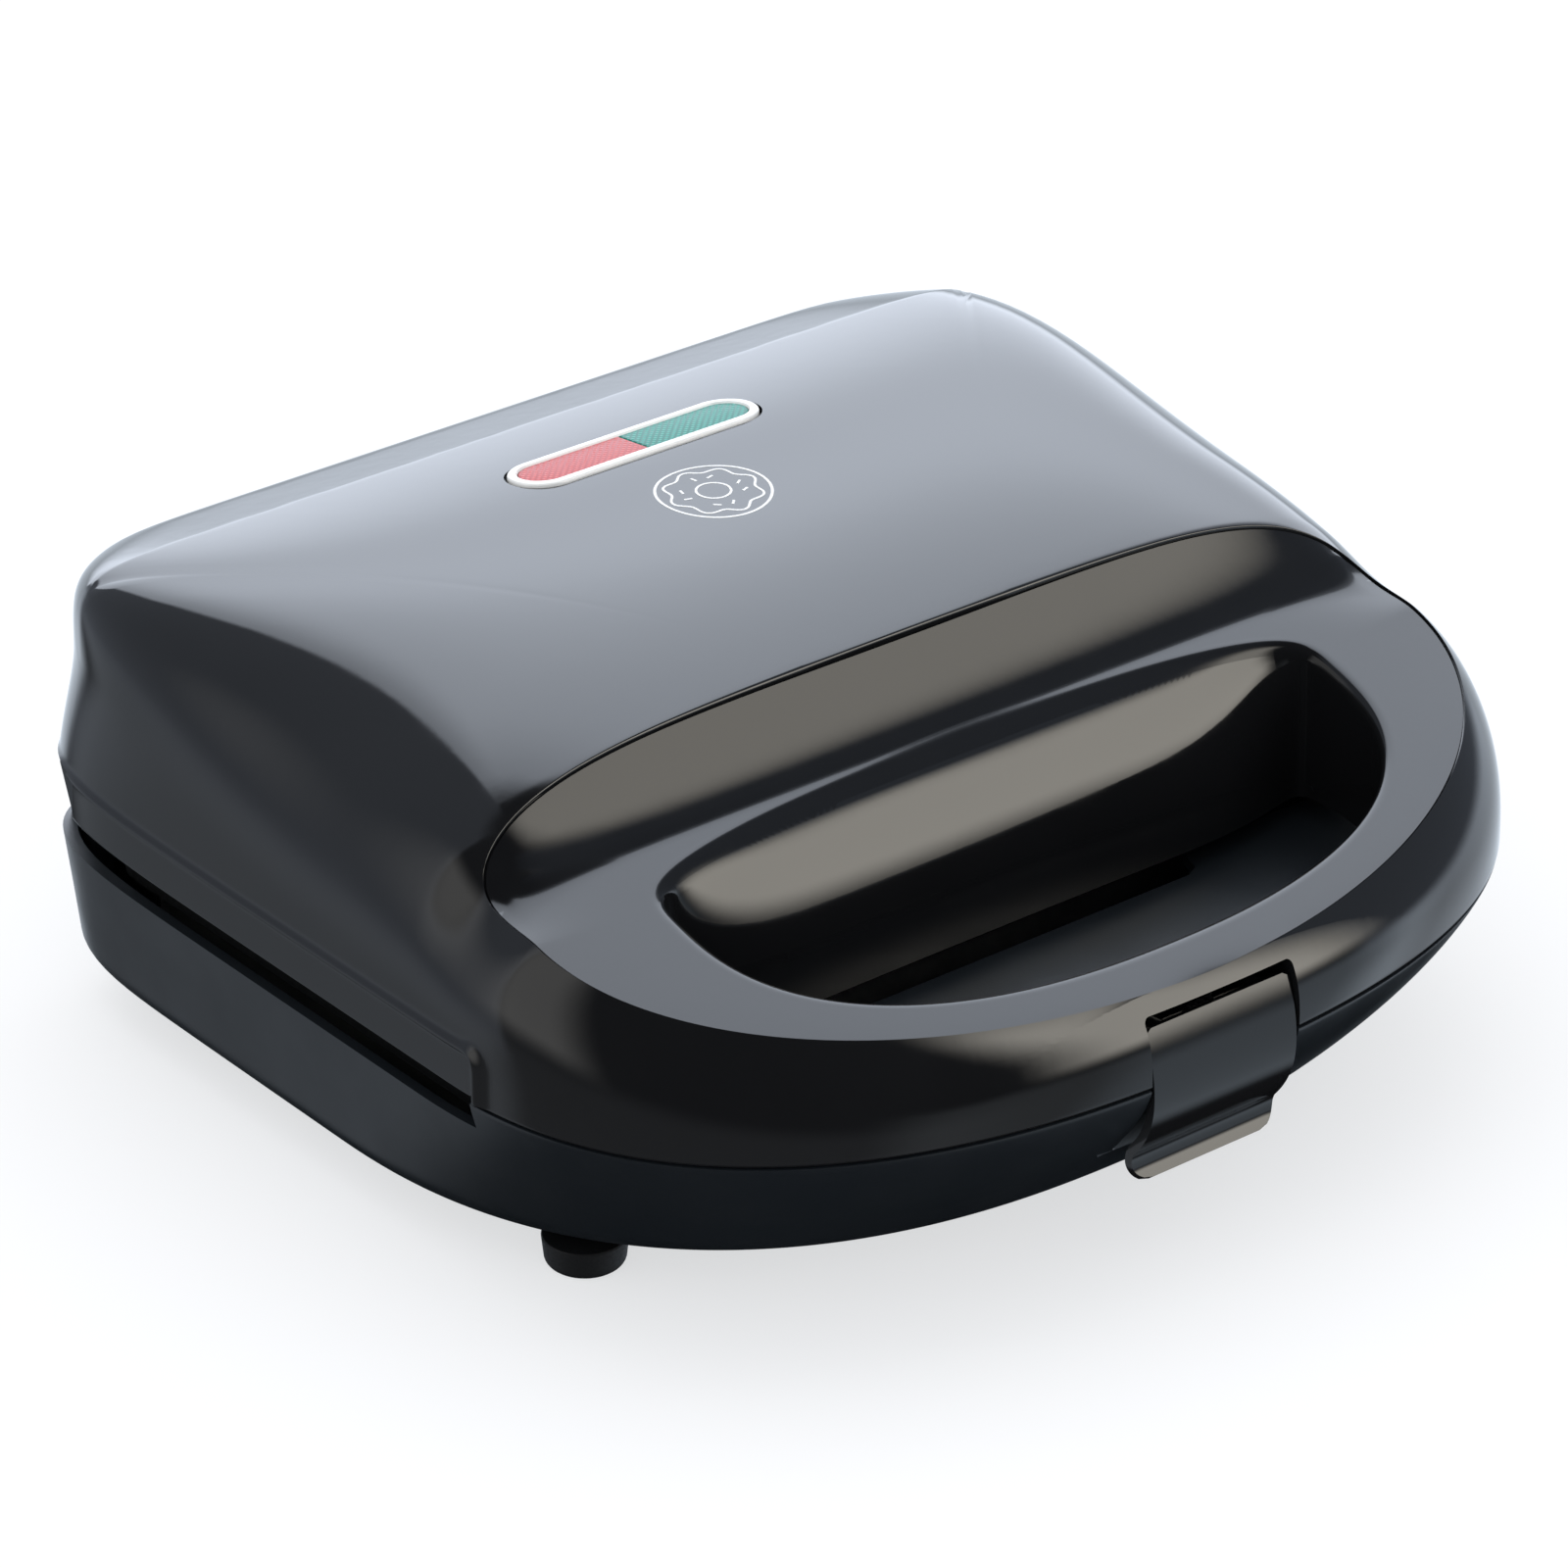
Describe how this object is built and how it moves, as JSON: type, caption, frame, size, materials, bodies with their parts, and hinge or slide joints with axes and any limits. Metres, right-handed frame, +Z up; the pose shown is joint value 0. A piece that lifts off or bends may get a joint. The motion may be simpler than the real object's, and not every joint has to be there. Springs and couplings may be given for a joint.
{
  "type": "donut maker",
  "caption": "Table-top donut maker: hinged gloss lid with a finger hole and indicator window, moulded baking plates, snap latch and satin base on rubber feet.",
  "frame": {"origin": "middle of the bounding box on the plane the feet stand on", "axes": "+X to the object's right seen from its front, +Y from the latch to the hinge, +Z up"},
  "size_m": [0.2276, 0.2243, 0.1021],
  "materials": {
    "gloss_black": "high gloss",
    "satin_black": "satin, fine grain",
    "non_stick": "dark non-stick coating on cast aluminium",
    "steel": "satin",
    "reflector": "bright rolled sheet",
    "white_plastic": "gloss white",
    "red_lens": "translucent red, unlit",
    "green_lens": "translucent green, unlit",
    "lamp_glass": "clear lamp glass",
    "ceramic": "unglazed",
    "sleeving": "woven insulating sleeve",
    "rubber": "matte"
  },
  "bodies": {
    "base": {"base_shell": "satin_black", "handle_shelf": "satin_black", "lower_plate": "non_stick", "lower_element": "steel", "lower_reflector": "reflector", "lower_plate_screw_1": "steel", "lower_plate_screw_2": "steel", "lower_plate_screw_3": "steel", "lower_plate_screw_4": "steel", "thermostat": "ceramic", "thermostat_bracket": "steel", "thermal_fuse": "sleeving", "terminal_block": "ceramic", "cord_gland": "rubber", "base_jumper_lead": "sleeving", "foot_front_left": "rubber", "foot_front_right": "rubber", "foot_rear_left": "rubber", "foot_rear_right": "rubber", "hinge_pin_left": "steel", "hinge_pin_right": "steel"},
    "lid": {"lid_shell": "gloss_black", "handle_liner": "satin_black", "upper_plate": "non_stick", "upper_element": "steel", "upper_reflector": "reflector", "upper_plate_screw_1": "steel", "upper_plate_screw_2": "steel", "upper_plate_screw_3": "steel", "upper_plate_screw_4": "steel", "indicator_bezel": "white_plastic", "red_lens": "red_lens", "green_lens": "green_lens", "red_lamp": "lamp_glass", "green_lamp": "lamp_glass", "lamp_bracket": "white_plastic", "latch_pin": "steel", "lid_jumper_lead": "sleeving"},
    "latch": {"latch": "gloss_black", "latch_spring": "steel"}
  },
  "joints": [
    {"name": "lid_hinge", "type": "hinge", "parent": "base", "child": "lid", "pos_m": [0, 0.1, 0.0465], "axis": [-1, 0, 0], "range_deg": [0, 100]},
    {"name": "latch_pivot", "type": "hinge", "parent": "lid", "child": "latch", "pos_m": [0, -0.105, 0.05], "axis": [-1, 0, 0], "range_deg": [0, 35], "stiffness_Nm_per_rad": 0.02}
  ]
}
